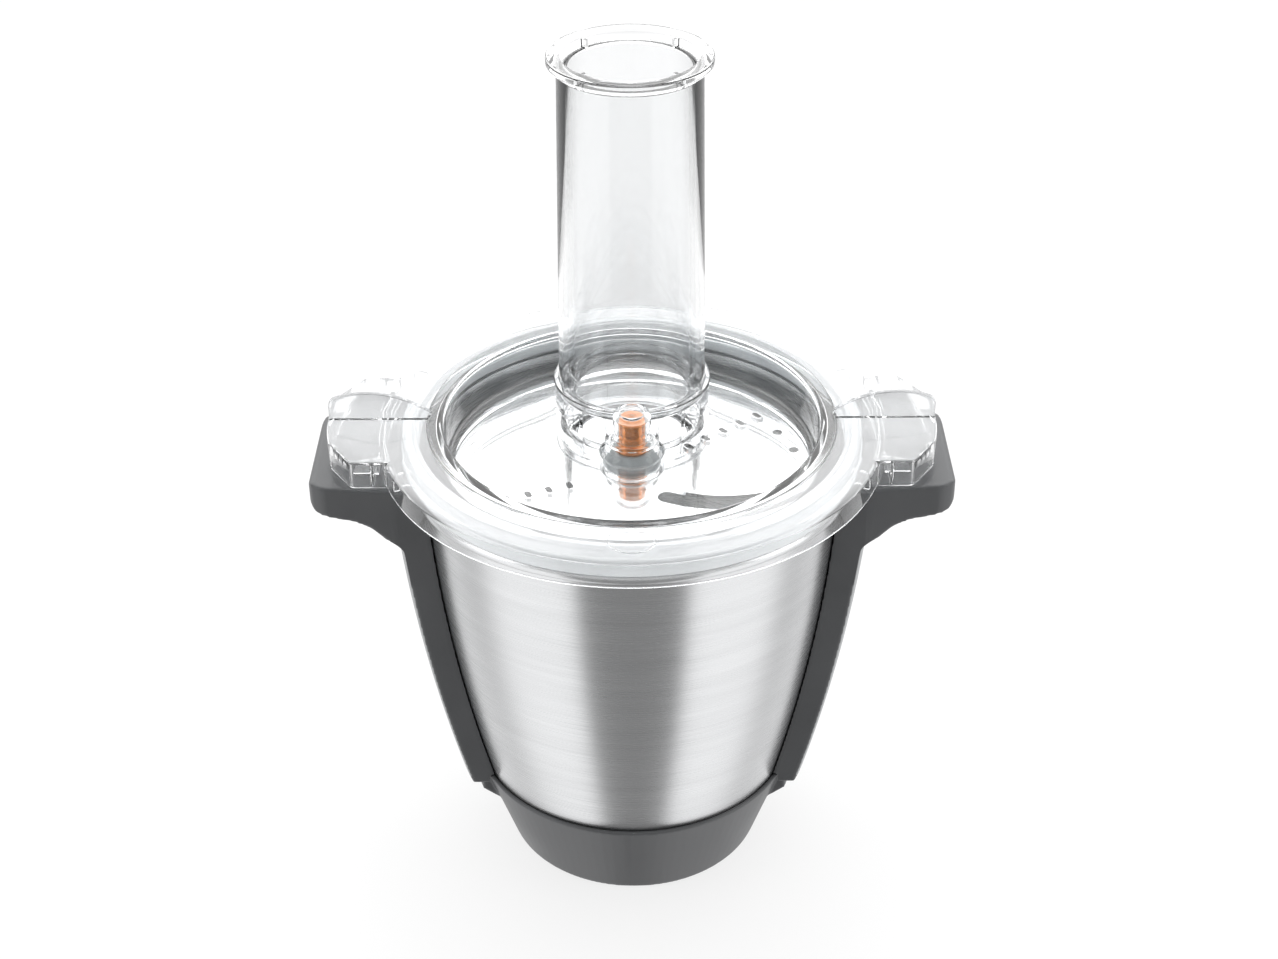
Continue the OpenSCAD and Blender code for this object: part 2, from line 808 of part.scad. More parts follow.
// Upright fin along one wing
module grip_fin() {
    rotate([90, 0, 0]) linear_extrude(fin_wall, center = true) intersection() {
        translate([fin_axis, fin_crest - fin_curve]) circle(r = fin_curve, $fn = 180);
        union() {
            slab(bead_outer - 2, lid_top - 1, wing_reach - fin_round, fin_crest + 1);
            slab(wing_reach - fin_round - 1, lid_top - 1, wing_reach - 0.6, fin_crest - fin_round);
            translate([wing_reach - fin_round - 0.6, fin_crest - fin_round]) circle(r = fin_round);
        }
    }
}

module lid_cover() {
    color(clear) difference() {
        union() {
            rotate_extrude() lid_section();
            lid_wings();
            lid_gussets();
            translate([0, tube_offset, well_under])
                cylinder(r = collar_outer, h = collar_top - 1.2 - well_under);
            translate([0, tube_offset, collar_top - 1.2]) rotate_extrude() {
                translate([collar_outer - 0.6, 0]) circle(r = 1.2);
                slab(0, -1, collar_outer - 0.6, 1.2);
            }
            front_mark();
        }
        translate([0, tube_offset, well_under - 1]) cylinder(r = chute_bore, h = 40);
        translate([0, tube_offset, tube_seat]) cylinder(r = collar_bore, h = 20);
        dome_cavity();
    }
    color(clear) chute_ribs();
}

module lid_wings() {
    for (side = [0, 180])
        rotate([0, 0, side]) difference() {
            union() {
                wing_body();
                grip_fin();
            }
            translate([0, 0, lid_base - 1]) cylinder(r = lid_radius - clear_wall, h = skirt_height - clear_wall + 1);
        }
}

// Thin upright webs under the flange beside the wings
module lid_gussets() {
    for (a = [24, 156, 204, 336])
        rotate([0, 0, a]) translate([lid_radius - 9, -0.8, lid_under - 7]) cube([7.8, 1.6, 7.5]);
}

// Upright ribs in the chute below the tube
module chute_ribs() {
    for (i = [0:rib_count - 1])
        translate([0, tube_offset, well_under]) rotate([0, 0, i * 360 / rib_count])
            translate([chute_bore - 1.1, -0.6, 0.2]) cube([1.6, 1.2, tube_seat - well_under - 0.4]);
}

// Half-round raised line at the front of the flange
module front_mark() {
    translate([0, -mark_ring, lid_top - 0.5]) difference() {
        cylinder(r = mark_radius, h = 1);
        translate([0, 0, -1]) cylinder(r = mark_radius - 1.2, h = 3);
        translate([-mark_radius - 1, 0, -1]) cube([2 * mark_radius + 2, mark_radius + 1, 3]);
    }
}

// ---- feed tube and pusher ----

module feed_tube() {
    color(clear) translate([0, tube_offset, 0]) rotate_extrude() difference() {
        polygon([[0, tube_end], [tube_foot, tube_end], [tube_foot - 0.05, tube_end + 6],
            [tube_head, tube_top], [0, tube_top]]);
        polygon([[0, tube_end - 1], [tube_foot_bore, tube_end - 1], [tube_foot_bore, tube_end],
            [tube_bore, tube_top], [tube_bore, tube_top + 1], [0, tube_top + 1]]);
    }
}

module food_pusher() {
    inner = pusher_radius - pusher_wall;
    color(clear) translate([0, tube_offset, 0]) {
        rotate_extrude() difference() {
            union() {
                slab(0, pusher_end, pusher_radius, pusher_top - 1);
                polygon([[0, tube_top + seat], [tube_head + 0.8, tube_top + seat],
                    [flange_radius, tube_top + seat + 3.4], [flange_radius, pusher_top - 0.8],
                    [flange_radius - 0.8, pusher_top], [0, pusher_top]]);
            }
            slab(-1, pusher_end + pusher_wall, inner, pusher_top + 1);
            slab(0, pusher_top - mouth_depth, mouth_bore, pusher_top + 1);
        }
        for (a = [45:90:315])
            rotate([0, 0, a]) translate([inner - 0.6, -0.8, pusher_top - mouth_depth - 0.5])
                cube([mouth_bore - inner + 1.2, 1.6, mouth_depth - 0.5]);
    }
}

// ---- parts ----

bowl_shell();
base_cup();
base_plate();
left_handle();
right_handle();
left_leg_cover();
right_leg_cover();
handle_screw(-1, screw_high);  // left_upper_screw
handle_screw(-1, screw_low);  // left_lower_screw
handle_screw(1, screw_high);  // right_upper_screw
handle_screw(1, screw_low);  // right_lower_screw
base_screw(90);  // front_base_screw
base_screw(330);  // left_base_screw
base_screw(210);  // right_base_screw
heater_plate();
heating_element();
contact_block();
contact_pin(-1);  // left_contact_pin
contact_pin(0);  // middle_contact_pin
contact_pin(1);  // right_contact_pin
heat_sensor();
bearing_housing();
housing_nut();
bearing(low_bearing);  // lower_bearing
bearing(high_bearing);  // upper_bearing
shaft_seal();
drive_shaft();
drive_coupling();
shaft_clip();
drive_sleeve();
disc_hub();
cutting_disc();
slicing_blade();
shaft_tip();
lid_seal();
lid_cover();
feed_tube();
food_pusher();
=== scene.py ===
"""Looks of a steel food processor bowl with a clear slicing lid."""

import logging
import math
from collections.abc import Callable
from dataclasses import dataclass, field
from enum import Enum

import bmesh
import bpy
from mathutils import Matrix, Vector


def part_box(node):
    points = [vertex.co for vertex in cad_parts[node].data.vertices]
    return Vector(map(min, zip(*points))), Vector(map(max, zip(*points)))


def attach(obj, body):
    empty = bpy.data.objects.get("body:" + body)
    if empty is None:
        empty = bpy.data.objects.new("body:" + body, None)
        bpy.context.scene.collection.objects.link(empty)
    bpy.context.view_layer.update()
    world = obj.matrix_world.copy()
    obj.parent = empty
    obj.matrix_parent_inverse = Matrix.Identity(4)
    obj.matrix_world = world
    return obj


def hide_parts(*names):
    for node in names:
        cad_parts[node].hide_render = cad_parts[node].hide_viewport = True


log = logging.getLogger("bowl")

MM = 0.001
Point = tuple[float, float]
Corner = tuple[float, float, float]


class Side(Enum):
    """The two ends of the bowl along X."""

    LEFT = -1
    RIGHT = 1


class Cut(Enum):
    """How one solid is combined with another."""

    JOIN = "UNION"
    REMOVE = "DIFFERENCE"
    KEEP_SHARED = "INTERSECT"


# ---------------------------------------------------------------- mesh work


def soften(corners: list[Corner], closed: bool, steps: int = 6) -> list[Point]:
    """Rounds the corners of an outline.

    Args:
        corners: Points with the radius of the arc wanted at each, in millimetres.
        closed: Whether the last point joins the first.
        steps: Number of chords in each arc.

    Returns:
        The outline with every corner replaced by its arc.
    """
    out: list[Point] = []
    count = len(corners)
    for i, (x, y, r) in enumerate(corners):
        if r <= 0 or (not closed and i in (0, count - 1)):
            out.append((x, y))
            continue
        here = Vector((x, y))
        back = Vector(corners[i - 1][:2]) - here
        ahead = Vector(corners[(i + 1) % count][:2]) - here
        reach = min(back.length, ahead.length) * 0.48
        back.normalize()
        ahead.normalize()
        half = math.acos(max(-1.0, min(1.0, back.dot(ahead)))) / 2
        if half > math.radians(88):
            out.append((x, y))
            continue
        run = min(r / math.tan(half), reach)
        r = run * math.tan(half)
        middle = here + (back + ahead).normalized() * (r / math.sin(half))
        first = here + back * run - middle
        last = here + ahead * run - middle
        turn = first.angle_signed(last)
        for k in range(steps + 1):
            a = -turn * k / steps
            c, s = math.cos(a), math.sin(a)
            out.append((middle.x + first.x * c - first.y * s, middle.y + first.x * s + first.y * c))
    return out


def new_piece(name: str, bm: bmesh.types.BMesh) -> bpy.types.Object:
    """Turns a bmesh into an object in the scene.

    Args:
        name: Name of the piece.
        bm: The mesh, which is used up.

    Returns:
        The new object.
    """
    bmesh.ops.remove_doubles(bm, verts=bm.verts, dist=1e-7)
    bmesh.ops.recalc_face_normals(bm, faces=bm.faces)
    mesh = bpy.data.meshes.new(name)
    bm.to_mesh(mesh)
    bm.free()
    piece = bpy.data.objects.new(name, mesh)
    bpy.context.scene.collection.objects.link(piece)
    return piece


def lathe(name: str, line: list[Point], around: int = 192, centre: Point = (0.0, 0.0)) -> bpy.types.Object:
    """Turns a line about an upright axis.

    Args:
        name: Name of the piece.
        line: Radius and height of each point in millimetres. It is a closed loop,
            or it starts and ends on the axis.
        around: Number of steps around the axis.
        centre: Place of the axis in millimetres.

    Returns:
        The turned solid.
    """
    bm = bmesh.new()
    rings: list[list[bmesh.types.BMVert]] = []
    for r, z in line:
        if r < 1e-6:
            rings.append([bm.verts.new((centre[0] * MM, centre[1] * MM, z * MM))])
            continue
        rings.append([
            bm.verts.new((
                (centre[0] + r * math.cos(math.tau * k / around)) * MM,
                (centre[1] + r * math.sin(math.tau * k / around)) * MM,
                z * MM,
            ))
            for k in range(around)
        ])
    open_line = len(rings[0]) == 1 and len(rings[-1]) == 1
    for i in range(len(rings) - 1 if open_line else len(rings)):
        a, b = rings[i], rings[(i + 1) % len(rings)]
        for k in range(around):
            j = (k + 1) % around
            if len(a) == 1 and len(b) > 1:
                bm.faces.new((a[0], b[k], b[j]))
            elif len(b) == 1 and len(a) > 1:
                bm.faces.new((a[k], b[0], a[j]))
            elif len(a) > 1:
                bm.faces.new((a[k], b[k], b[j], a[j]))
    return new_piece(name, bm)


def slab(name: str, outline: list[Point], low: float, high: float) -> bpy.types.Object:
    """Makes a plate from its outline.

    Args:
        name: Name of the piece.
        outline: Points seen from above, in millimetres.
        low: Height of the underside in millimetres.
        high: Height of the upper side in millimetres.

    Returns:
        The plate.
    """
    bm = bmesh.new()
    under = [bm.verts.new((x * MM, y * MM, low * MM)) for x, y in outline]
    over = [bm.verts.new((x * MM, y * MM, high * MM)) for x, y in outline]
    bm.faces.new(under)
    bm.faces.new(over)
    for i in range(len(under)):
        j = (i + 1) % len(under)
        bm.faces.new((under[i], under[j], over[j], over[i]))
    return new_piece(name, bm)


def box_outline(x0: float, y0: float, x1: float, y1: float) -> list[Point]:
    """Corners of a rectangle, in order."""
    return [(x0, y0), (x1, y0), (x1, y1), (x0, y1)]


def settle(piece: bpy.types.Object) -> None:
    """Applies every modifier of a piece to its mesh."""
    graph = bpy.context.evaluated_depsgraph_get()
    mesh = bpy.data.meshes.new_from_object(piece.evaluated_get(graph))
    piece.modifiers.clear()
    old = piece.data
    piece.data = mesh
    bpy.data.meshes.remove(old)


def ease_edges(piece: bpy.types.Object, width: float, angle: float = 35.0, segments: int = 3) -> None:
    """Rounds the sharp edges of a piece.

    Args:
        piece: The piece to change.
        width: Size of the rounding in millimetres.
        angle: Edges sharper than this many degrees are rounded.
        segments: Number of chords across the rounding.
    """
    mod = piece.modifiers.new("ease", "BEVEL")
    mod.width = width * MM
    mod.segments = segments
    mod.limit_method = "ANGLE"
    mod.angle_limit = math.radians(angle)
    mod.use_clamp_overlap = True
    settle(piece)


def combine(piece: bpy.types.Object, tool: bpy.types.Object, cut: Cut) -> None:
    """Joins a solid to a piece or takes it away, and uses the solid up.

    Args:
        piece: The piece that stays.
        tool: The solid that is used up.
        cut: Which way the two are combined.
    """
    mod = piece.modifiers.new("cut", "BOOLEAN")
    mod.operation = cut.value
    mod.object = tool
    mod.solver = "MANIFOLD"
    settle(piece)
    mesh = tool.data
    bpy.data.objects.remove(tool)
    bpy.data.meshes.remove(mesh)


def smooth(piece: bpy.types.Object, angle: float = 30.0) -> None:
    """Shades a piece smoothly, apart from its sharp edges.

    Args:
        piece: The piece to shade.
        angle: Edges sharper than this many degrees stay sharp.
    """
    mesh = piece.data
    mesh.polygons.foreach_set("use_smooth", [True] * len(mesh.polygons))
    mesh.set_sharp_from_angle(angle=math.radians(angle))


def turned(piece: bpy.types.Object, angle: float, place: Point = (0.0, 0.0)) -> bpy.types.Object:
    """Turns a piece about the upright axis and moves it, in its mesh.

    Args:
        piece: The piece to move.
        angle: Turn in degrees.
        place: Move along X and Y in millimetres, after the turn.

    Returns:
        The same piece.
    """
    move = Matrix.Translation((place[0] * MM, place[1] * MM, 0)) @ Matrix.Rotation(math.radians(angle), 4, "Z")
    piece.data.transform(move)
    return piece


def stood_up(piece: bpy.types.Object) -> bpy.types.Object:
    """Tips a plate drawn in X and Y so that it stands in X and Z."""
    piece.data.transform(Matrix.Rotation(math.radians(90), 4, "X"))
    return piece


def moulded_copy(
    node: str, name: str, grain: float, passes: int, reshape: Callable[[Vector], Vector] | None = None
) -> bpy.types.Object:
    """Copies a CAD node with softly rounded edges, like a moulding.

    Args:
        node: Name of the CAD node.
        name: Name of the new piece.
        grain: Size of the new mesh's cells in millimetres.
        passes: How often the surface is smoothed.
        reshape: Gives the new place of a point, if the moulding is eased off somewhere.

    Returns:
        The new piece.
    """
    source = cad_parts[node]
    piece = bpy.data.objects.new(name, source.data.copy())
    bpy.context.scene.collection.objects.link(piece)
    piece.data.materials.clear()
    weld = piece.modifiers.new("weld", "WELD")
    weld.merge_threshold = 1e-6
    remesh = piece.modifiers.new("cells", "REMESH")
    remesh.mode = "VOXEL"
    remesh.voxel_size = grain * MM
    remesh.adaptivity = 0.0
    ease = piece.modifiers.new("ease", "SMOOTH")
    ease.factor = 0.5
    ease.iterations = passes
    settle(piece)
    if reshape:
        for corner in piece.data.vertices:
            corner.co = reshape(corner.co)
    thin = piece.modifiers.new("thin", "DECIMATE")
    thin.decimate_type = "DISSOLVE"
    thin.angle_limit = math.radians(0.35)
    settle(piece)
    smooth(piece, 50)
    return piece


# ---------------------------------------------------------------- finishes


class Nodes:
    """A material's node tree, with short ways to add to it."""

    def __init__(self, name: str) -> None:
        """Starts a material with one Principled shader."""
        self.material = bpy.data.materials.new(name)
        self.material.use_nodes = True
        self.tree = self.material.node_tree
        self.tree.nodes.clear()
        self.out = self.tree.nodes.new("ShaderNodeOutputMaterial")
        self.shader = self.tree.nodes.new("ShaderNodeBsdfPrincipled")
        self.tree.links.new(self.shader.outputs[0], self.out.inputs["Surface"])
        self.place = self.tree.nodes.new("ShaderNodeTexCoord")

    def link(self, start: bpy.types.NodeSocket, end: bpy.types.NodeSocket) -> None:
        """Joins two sockets."""
        self.tree.links.new(start, end)

    def stretched(self, scale: tuple[float, float, float]) -> bpy.types.NodeSocket:
        """Object coordinates with a stretch along each axis."""
        node = self.tree.nodes.new("ShaderNodeMapping")
        node.inputs["Scale"].default_value = scale
        self.link(self.place.outputs["Object"], node.inputs["Vector"])
        return node.outputs["Vector"]

    def noise(self, vector: bpy.types.NodeSocket, scale: float, detail: float = 3.0) -> bpy.types.NodeSocket:
        """Noise along a vector, from 0 to 1."""
        node = self.tree.nodes.new("ShaderNodeTexNoise")
        node.inputs["Scale"].default_value = scale
        node.inputs["Detail"].default_value = detail
        self.link(vector, node.inputs["Vector"])
        return node.outputs["Fac"]

    def between(self, fac: bpy.types.NodeSocket, low: float, high: float) -> bpy.types.NodeSocket:
        """Maps a noise value's middle range to low..high."""
        node = self.tree.nodes.new("ShaderNodeMapRange")
        node.inputs["From Min"].default_value = 0.3
        node.inputs["From Max"].default_value = 0.7
        node.inputs["To Min"].default_value = low
        node.inputs["To Max"].default_value = high
        self.link(fac, node.inputs["Value"])
        return node.outputs["Result"]

    def tint(self, fac: bpy.types.NodeSocket, low: tuple[float, ...], high: tuple[float, ...]) -> None:
        """Sends a mix of two colours to the shader's base colour."""
        node = self.tree.nodes.new("ShaderNodeValToRGB")
        ramp = node.color_ramp.elements
        ramp[0].position, ramp[1].position = 0.3, 0.7
        ramp[0].color = (*low, 1.0)
        ramp[1].color = (*high, 1.0)
        self.link(fac, node.inputs["Fac"])
        self.link(node.outputs["Color"], self.shader.inputs["Base Color"])

    def relief(self, height: bpy.types.NodeSocket, strength: float, depth: float) -> None:
        """Sends a height to the shader's normal, depth in millimetres."""
        node = self.tree.nodes.new("ShaderNodeBump")
        node.inputs["Strength"].default_value = strength
        node.inputs["Distance"].default_value = depth * MM
        self.link(height, node.inputs["Height"])
        self.link(node.outputs["Normal"], self.shader.inputs["Normal"])

    def set(self, **values: float | tuple[float, ...]) -> None:
        """Sets constants on the shader, with _ for a blank in a name."""
        for key, value in values.items():
            self.shader.inputs[key.replace("_", " ")].default_value = value


def shade(colour: Vector, factor: float) -> tuple[float, float, float]:
    """A colour made lighter or darker."""
    return (colour[0] * factor, colour[1] * factor, colour[2] * factor)


@dataclass(frozen=True)
class BrushedSteel:
    """Stainless sheet brushed around the bowl axis."""

    name: str = "brushed_steel"
    colour: tuple[float, float, float] = (0.66, 0.665, 0.67)
    roughness: float = 0.27
    grain: float = 0.035
    direction: float = 0.8

    def build(self) -> bpy.types.Material:
        """Makes the material."""
        n = Nodes(self.name)
        lines = n.noise(n.stretched((14.0, 14.0, 3600.0)), 1.0, 4.0)
        broad = n.noise(n.stretched((9.0, 9.0, 160.0)), 1.0, 2.0)
        n.tint(broad, shade(self.colour, 0.96), shade(self.colour, 1.03))
        n.link(n.between(lines, self.roughness - 0.05, self.roughness + 0.06), n.shader.inputs["Roughness"])
        n.relief(lines, 0.05, self.grain)
        n.set(Metallic=1.0, Anisotropic=self.direction, Anisotropic_Rotation=0.25)
        tangent = n.tree.nodes.new("ShaderNodeTangent")
        tangent.direction_type = "RADIAL"
        tangent.axis = "Z"
        n.link(tangent.outputs["Tangent"], n.shader.inputs["Tangent"])
        return n.material


@dataclass(frozen=True)
class PlainMetal:
    """Metal with fine wear in all directions."""

    name: str
    colour: tuple[float, float, float]
    roughness: float
    wear: float = 0.06
    grain: float = 0.02

    def build(self) -> bpy.types.Material:
        """Makes the material."""
        n = Nodes(self.name)
        spots = n.noise(n.stretched((1.0, 1.0, 1.0)), 240.0, 5.0)
        cloud = n.noise(n.stretched((1.0, 1.0, 1.0)), 45.0, 3.0)
        n.tint(cloud, shade(self.colour, 0.94), shade(self.colour, 1.04))
        low = max(0.01, self.roughness - self.wear)
        n.link(n.between(spots, low, self.roughness + self.wear), n.shader.inputs["Roughness"])
        n.relief(spots, 0.1, self.grain)
        n.set(Metallic=1.0)
        return n.material


@dataclass(frozen=True)
class MouldedPlastic:
    """Moulded plastic with a fine eroded grain."""

    name: str
    colour: tuple[float, float, float]
    roughness: float = 0.42
    grain: float = 0.03
    grain_scale: float = 1500.0
    sheen: float = 0.0

    def build(self) -> bpy.types.Material:
        """Makes the material."""
        n = Nodes(self.name)
        pits = n.noise(n.stretched((1.0, 1.0, 1.0)), self.grain_scale, 2.0)
        cloud = n.noise(n.stretched((1.0, 1.0, 1.0)), 28.0, 4.0)
        n.tint(cloud, shade(self.colour, 0.93), shade(self.colour, 1.07))
        n.link(n.between(cloud, self.roughness - 0.03, self.roughness + 0.04), n.shader.inputs["Roughness"])
        n.relief(pits, 0.25, self.grain)
        n.set(Specular_IOR_Level=0.5, Sheen_Weight=self.sheen)
        return n.material


@dataclass(frozen=True)
class ClearPlastic:
    """Clear moulded plastic that lets lamps through."""

    name: str = "clear_plastic"
    colour: tuple[float, float, float] = (0.965, 0.968, 0.97)
    roughness: float = 0.015
    refraction: float = 1.49
    ripple: float = 0.02
    haze: float = 0.0

    def build(self) -> bpy.types.Material:
        """Makes the material."""
        n = Nodes(self.name)
        cloud = n.noise(n.stretched((1.0, 1.0, 1.0)), 22.0, 2.0)
        n.tint(cloud, shade(self.colour, 0.995), self.colour)
        n.link(n.between(cloud, self.roughness * 0.6, self.roughness * 1.5), n.shader.inputs["Roughness"])
        n.relief(cloud, 0.2, self.ripple)
        n.set(Transmission_Weight=1.0 - self.haze, IOR=self.refraction)
        path = n.tree.nodes.new("ShaderNodeLightPath")
        open_way = n.tree.nodes.new("ShaderNodeBsdfTransparent")
        open_way.inputs["Color"].default_value = (0.93, 0.94, 0.945, 1.0)
        mix = n.tree.nodes.new("ShaderNodeMixShader")
        n.link(path.outputs["Is Shadow Ray"], mix.inputs[0])
        n.link(n.shader.outputs[0], mix.inputs[1])
        n.link(open_way.outputs[0], mix.inputs[2])
        n.link(mix.outputs[0], n.out.inputs["Surface"])
        return n.material


@dataclass(frozen=True)
class Silicone:
    """Milky silicone rubber."""

    name: str = "silicone"
    colour: tuple[float, float, float] = (0.72, 0.74, 0.75)
    roughness: float = 0.38
    glow: float = 0.25

    def build(self) -> bpy.types.Material:
        """Makes the material."""
        n = Nodes(self.name)
        cloud = n.noise(n.stretched((1.0, 1.0, 1.0)), 60.0, 3.0)
        n.tint(cloud, shade(self.colour, 0.95), shade(self.colour, 1.03))
        n.link(n.between(cloud, self.roughness, self.roughness + 0.1), n.shader.inputs["Roughness"])
        n.set(Subsurface_Weight=self.glow, Subsurface_Radius=(0.004, 0.004, 0.004))
        return n.material


class Finishes:
    """Every finish on the object, made once."""

    def __init__(self) -> None:
        """Builds the materials."""
        self.brushed = BrushedSteel().build()
        self.mirror = PlainMetal("mirror_steel", (0.86, 0.865, 0.87), 0.035, 0.02, 0.004).build()
        self.ground = PlainMetal("ground_steel", (0.6, 0.605, 0.61), 0.22).build()
        self.zinc = PlainMetal("zinc_plate", (0.55, 0.55, 0.54), 0.34).build()
        self.alloy = PlainMetal("cast_alloy", (0.6, 0.605, 0.61), 0.45, 0.08, 0.1).build()
        self.bronze = PlainMetal("sintered_bronze", (0.6, 0.235, 0.08), 0.2, 0.06, 0.02).build()
        self.brass = PlainMetal("contact_brass", (0.78, 0.6, 0.28), 0.28).build()
        self.dark = MouldedPlastic("dark_plastic", (0.066, 0.068, 0.071), 0.4).build()
        self.grey = MouldedPlastic("grey_plastic", (0.3, 0.31, 0.315), 0.38, 0.02).build()
        self.hub = MouldedPlastic("hub_plastic", (0.27, 0.29, 0.295), 0.36, 0.015).build()
        self.black = MouldedPlastic("black_plastic", (0.02, 0.02, 0.021), 0.45).build()
        self.rubber = MouldedPlastic("seal_rubber", (0.018, 0.018, 0.018), 0.6, 0.02).build()
        self.clear = ClearPlastic().build()
        self.hazed = ClearPlastic("hazed_plastic", (0.86, 0.868, 0.875), 0.03, haze=0.3).build()
        self.silicone = Silicone().build()


def dress(piece: bpy.types.Object, finish: bpy.types.Material) -> None:
    """Gives a piece one finish on all its faces."""
    piece.data.materials.clear()
    piece.data.materials.append(finish)


def dress_faces(piece: bpy.types.Object, finish: bpy.types.Material, wanted: Callable[[Vector, Vector], bool]) -> None:
    """Gives a second finish to some of a piece's faces.

    Args:
        piece: The piece, already dressed.
        finish: The second finish.
        wanted: Tells from a face's middle, in millimetres, and its normal if it is one of them.
    """
    piece.data.materials.append(finish)
    place = len(piece.data.materials) - 1
    for face in piece.data.polygons:
        if wanted(face.center / MM, face.normal):
            face.material_index = place


def dress_node(node: str, finish: bpy.types.Material) -> None:
    """Gives a CAD node a finish and leaves its shape."""
    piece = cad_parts[node]
    for slot in piece.material_slots:
        slot.material = finish
    if not piece.material_slots:
        piece.data.materials.append(finish)
    log.info("dressed %s in %s", node, finish.name)


def place_piece(piece: bpy.types.Object, body: str, slot: str, finish: bpy.types.Material, *nodes: str) -> None:
    """Puts a finished piece on its body.

    Args:
        piece: The finished piece.
        body: Name of the body it moves with.
        slot: The record's material slot; not used.
        finish: Its material.
        *nodes: The CAD nodes it stands for.
    """
    dress(piece, finish)
    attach(piece, body)
    if nodes:
        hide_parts(*nodes)
    log.info("built %s on %s, %d faces", piece.name, body, len(piece.data.polygons))


# ---------------------------------------------------------------- studio


@dataclass
class Studio:
    """Pale floor, soft surroundings and lamps."""

    floor_size: float = 14.0
    floor_colour: tuple[float, float, float] = (0.18, 0.18, 0.18)
    floor_glow: float = 0.78
    front_shade: float = 0.3
    side_light: float = 1.3
    back_light: float = 0.85
    front_sky: float = 0.7
    back_sky: float = 2.6

    def build_floor(self) -> None:
        """Lays the floor."""
        bm = bmesh.new()
        bmesh.ops.create_grid(bm, x_segments=4, y_segments=4, size=self.floor_size / 2)
        floor = new_piece("floor", bm)
        floor.location.z = -0.0002
        n = Nodes("floor_paint")
        cloud = n.noise(n.stretched((1.0, 1.0, 1.0)), 3.0, 2.0)
        n.tint(cloud, shade(self.floor_colour, 0.995), self.floor_colour)
        n.set(Roughness=0.9, Specular_IOR_Level=0.1, Emission_Strength=self.floor_glow)
        n.shader.inputs["Emission Color"].default_value = (1.0, 1.0, 1.0, 1.0)
        dress(floor, n.material)
        floor.visible_glossy = False

    def build_world(self) -> None:
        """Wraps the scene in light panels and a pale sky, and shows plain white behind it."""
        world = bpy.data.worlds.new("studio")
        bpy.context.scene.world = world
        world.use_nodes = True
        tree = world.node_tree
        tree.nodes.clear()
        new, link = tree.nodes.new, tree.links.new
        place = new("ShaderNodeTexCoord")
        split = new("ShaderNodeSeparateXYZ")
        link(place.outputs["Generated"], split.inputs[0])
        across = new("ShaderNodeMath")
        across.operation = "ABSOLUTE"
        link(split.outputs["X"], across.inputs[0])
        flip = new("ShaderNodeMath")
        flip.operation = "MULTIPLY"
        flip.inputs[1].default_value = -1.0
        link(split.outputs["Y"], flip.inputs[0])
        angle = new("ShaderNodeMath")
        angle.operation = "ARCTAN2"
        link(across.outputs[0], angle.inputs[0])
        link(flip.outputs[0], angle.inputs[1])
        share = new("ShaderNodeMath")
        share.operation = "DIVIDE"
        share.inputs[1].default_value = math.pi
        link(angle.outputs[0], share.inputs[0])
        panels = new("ShaderNodeValToRGB")
        panels.color_ramp.interpolation = "EASE"
        stops = [
            (0.0, self.front_shade), (0.155, self.front_shade), (0.2, self.side_light),
            (0.46, self.side_light), (0.53, self.side_light * 0.5), (0.7, self.side_light * 0.8),
            (0.84, self.side_light * 0.8), (0.9, self.back_light), (1.0, self.back_light),
        ]
        ramp = panels.color_ramp.elements
        while len(ramp) < len(stops):
            ramp.new(0.5)
        for element, (where, value) in zip(ramp, stops):
            element.position = where
            element.color = (value, value, value * 1.005, 1.0)
        link(share.outputs[0], panels.inputs["Fac"])
        rise = new("ShaderNodeMapRange")
        rise.inputs["From Min"].default_value = 0.05
        rise.inputs["From Max"].default_value = 0.35
        link(split.outputs["Z"], rise.inputs["Value"])
        mix = new("ShaderNodeMix")
        mix.data_type = "RGBA"
        link(rise.outputs["Result"], mix.inputs["Factor"])
        link(panels.outputs["Color"], mix.inputs[6])
        sky = new("ShaderNodeMapRange")
        sky.interpolation_type = "SMOOTHSTEP"
        sky.inputs["From Min"].default_value = 0.0
        sky.inputs["From Max"].default_value = 0.6
        sky.inputs["To Min"].default_value = self.front_sky
        sky.inputs["To Max"].default_value = self.back_sky
        link(split.outputs["Y"], sky.inputs["Value"])
        link(sky.outputs["Result"], mix.inputs[7])
        back = new("ShaderNodeBackground")
        back.inputs["Strength"].default_value = 1.0
        seen = new("ShaderNodeLightPath")
        plain = new("ShaderNodeMix")
        plain.data_type = "RGBA"
        plain.inputs[7].default_value = (1.0, 1.0, 1.0, 1.0)
        link(seen.outputs["Is Camera Ray"], plain.inputs["Factor"])
        link(mix.outputs[2], plain.inputs[6])
        link(plain.outputs[2], back.inputs["Color"])
        out = new("ShaderNodeOutputWorld")
        link(back.outputs[0], out.inputs["Surface"])

    def build_lamps(self) -> None:
        """Hangs the soft lamps."""
        lamps = [
            ("overhead_lamp", (0.1, 0.35, 1.9), (1.5, 1.1), 8.0),
            ("left_lamp", (-1.5, -0.55, 1.0), (0.7, 1.4), 5.0),
            ("right_lamp", (1.5, -0.45, 0.9), (0.7, 1.4), 5.5),
        ]
        for name, place, size, power in lamps:
            light = bpy.data.lights.new(name, "AREA")
            light.shape = "RECTANGLE"
            light.size, light.size_y = size
            light.energy = power
            lamp = bpy.data.objects.new(name, light)
            lamp.location = place
            aim = Vector((0.0, 0.0, 0.2)) - Vector(place)
            lamp.rotation_euler = aim.to_track_quat("-Z", "Y").to_euler()
            bpy.context.scene.collection.objects.link(lamp)

    def build_colour(self) -> None:
        """Sets plain colour handling and enough bounces for clear walls."""
        scene = bpy.context.scene
        scene.view_settings.view_transform = "Standard"
        scene.cycles.max_bounces = 28
        scene.cycles.transmission_bounces = 28
        scene.cycles.transparent_max_bounces = 28
        scene.cycles.glossy_bounces = 8


